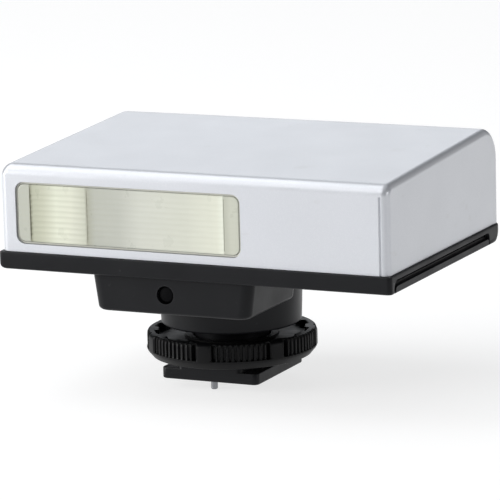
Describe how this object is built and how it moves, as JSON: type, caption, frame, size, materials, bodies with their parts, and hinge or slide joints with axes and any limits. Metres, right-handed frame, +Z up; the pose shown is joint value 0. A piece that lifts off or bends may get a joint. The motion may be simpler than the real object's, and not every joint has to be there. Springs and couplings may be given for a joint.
{
  "type": "shoe-mount electronic flash",
  "caption": "Compact electronic flash with a wedge-shaped silver cover, a wide ribbed window, a black base and a pedestal ending in a knurled lock ring and a hot-shoe foot.",
  "frame": {"origin": "centre of the underside of the hot-shoe foot, on the axis of the lock ring", "axes": "+Z up from the foot to the flash body; -Y is the way the flash window faces; +X is the battery side, so the window is at the -X end"},
  "size_m": [0.0737, 0.052, 0.0436],
  "materials": {
    "silver_cover": "satin silver paint over a thin metal pressing, fine even grain",
    "black_plastic": "satin black moulding with a very fine texture",
    "ring_plastic": "harder black moulding, semi-matt",
    "knob_plastic": "black moulding, lightly polished by use",
    "moulded_black": "matt black moulded resin",
    "clear_lens": "clear moulded acrylic with a pale warm tint and fine ribs inside",
    "tube_glass": "clear quartz glass",
    "rubber_seal": "soft black seal",
    "bright_reflector": "bright rolled aluminium",
    "steel": "bright plated steel",
    "spring_steel": "nickel-plated spring wire",
    "screw_steel": "zinc-plated screw",
    "black_screw": "blackened screw",
    "plated_contact": "gold-plated contact",
    "copper_winding": "enamelled copper winding",
    "ferrite": "dark sintered ferrite with a winding",
    "circuit_board": "green circuit board",
    "capacitor_sleeve": "shrunk plastic sleeve",
    "film_capacitor": "dipped film capacitor",
    "white_plastic": "heat-resistant white moulding",
    "dark_filter": "near-black infrared filter",
    "amber_lamp": "amber light pipe",
    "green_lamp": "green light pipe",
    "cell_jacket": "printed metal cell jacket with no wording",
    "lead_insulation": "flexible lead insulation"
  },
  "bodies": {
    "flash_body": {"hot_shoe_foot": "black_plastic", "contact_block": "moulded_black", "contact_board": "circuit_board", "centre_contact_spring": "spring_steel", "data_contact_left_spring": "spring_steel", "data_contact_right_spring": "spring_steel", "shoe_housing": "black_plastic", "sensor_window": "dark_filter", "photo_cell": "moulded_black", "top_cover": "silver_cover", "base_tray": "black_plastic", "flash_lens": "clear_lens", "window_gasket": "rubber_seal", "reflector": "bright_reflector", "xenon_tube": "tube_glass", "tube_electrode_left": "steel", "tube_electrode_right": "steel", "lamp_holder": "white_plastic", "main_capacitor": "capacitor_sleeve", "main_board": "circuit_board", "step_up_transformer": "ferrite", "trigger_coil": "copper_winding", "trigger_capacitor": "film_capacitor", "switching_transistor": "moulded_black", "control_chip": "moulded_black", "rear_panel": "black_plastic", "rear_board": "circuit_board", "power_switch_body": "moulded_black", "aperture_switch_body": "moulded_black", "test_switch": "moulded_black", "ready_lamp": "amber_lamp", "check_lamp": "green_lamp", "battery_bay": "moulded_black", "battery_cell_left": "cell_jacket", "battery_cell_right": "cell_jacket", "cell_spring_left": "spring_steel", "cell_spring_right": "spring_steel", "front_cell_contact": "steel", "rear_cell_contact": "steel", "contact_lead": "lead_insulation", "trigger_lead": "lead_insulation", "battery_lead": "lead_insulation", "foot_screw_1": "screw_steel", "case_screw_1": "black_screw", "foot_screw_2": "screw_steel", "case_screw_2": "black_screw", "foot_screw_3": "screw_steel", "case_screw_3": "black_screw", "foot_screw_4": "screw_steel", "case_screw_4": "black_screw"},
    "lock_ring": {"lock_ring": "ring_plastic"},
    "clamp_carrier": {"pressure_plate": "steel", "lock_pin": "steel"},
    "centre_contact_pin": {"centre_contact": "plated_contact"},
    "left_data_pin": {"data_contact_left": "plated_contact"},
    "right_data_pin": {"data_contact_right": "plated_contact"},
    "power_knob": {"power_switch_knob": "knob_plastic"},
    "aperture_knob": {"aperture_switch_knob": "knob_plastic"},
    "test_key": {"test_button": "knob_plastic"},
    "door": {"battery_door": "black_plastic"}
  },
  "joints": [
    {"name": "clamp_travel", "type": "slide", "parent": "flash_body", "child": "clamp_carrier", "axis": [0, 0, 1], "range_m": [0, 0.0018]},
    {"name": "ring_turn", "type": "hinge", "parent": "clamp_carrier", "child": "lock_ring", "pos_m": [0, 0, 0.0055], "axis": [0, 0, 1], "range_deg": [0, 270]},
    {"name": "centre_press", "type": "slide", "parent": "flash_body", "child": "centre_contact_pin", "axis": [0, 0, 1], "range_m": [0, 0.0008], "stiffness_N_per_m": 120, "springref_m": -0.001, "deforming": ["centre_contact_spring"]},
    {"name": "left_data_press", "type": "slide", "parent": "flash_body", "child": "left_data_pin", "axis": [0, 0, 1], "range_m": [0, 0.0006], "stiffness_N_per_m": 60, "springref_m": -0.001, "deforming": ["data_contact_left_spring"]},
    {"name": "right_data_press", "type": "slide", "parent": "flash_body", "child": "right_data_pin", "axis": [0, 0, 1], "range_m": [0, 0.0006], "stiffness_N_per_m": 60, "springref_m": -0.001, "deforming": ["data_contact_right_spring"]},
    {"name": "power_slide", "type": "slide", "parent": "flash_body", "child": "power_knob", "axis": [1, 0, 0], "range_m": [0, 0.003]},
    {"name": "aperture_slide", "type": "slide", "parent": "flash_body", "child": "aperture_knob", "axis": [1, 0, 0], "range_m": [0, 0.006]},
    {"name": "test_press", "type": "slide", "parent": "flash_body", "child": "test_key", "axis": [0, -1, 0], "range_m": [0, 0.0005], "stiffness_N_per_m": 200, "springref_m": -0.001},
    {"name": "door_slide", "type": "slide", "parent": "flash_body", "child": "door", "axis": [1, 0, 0], "range_m": [0, 0.022]}
  ],
  "couplings": [
    {"joint": "ring_turn", "follows": "clamp_travel", "rad_per_m": 2618}
  ]
}
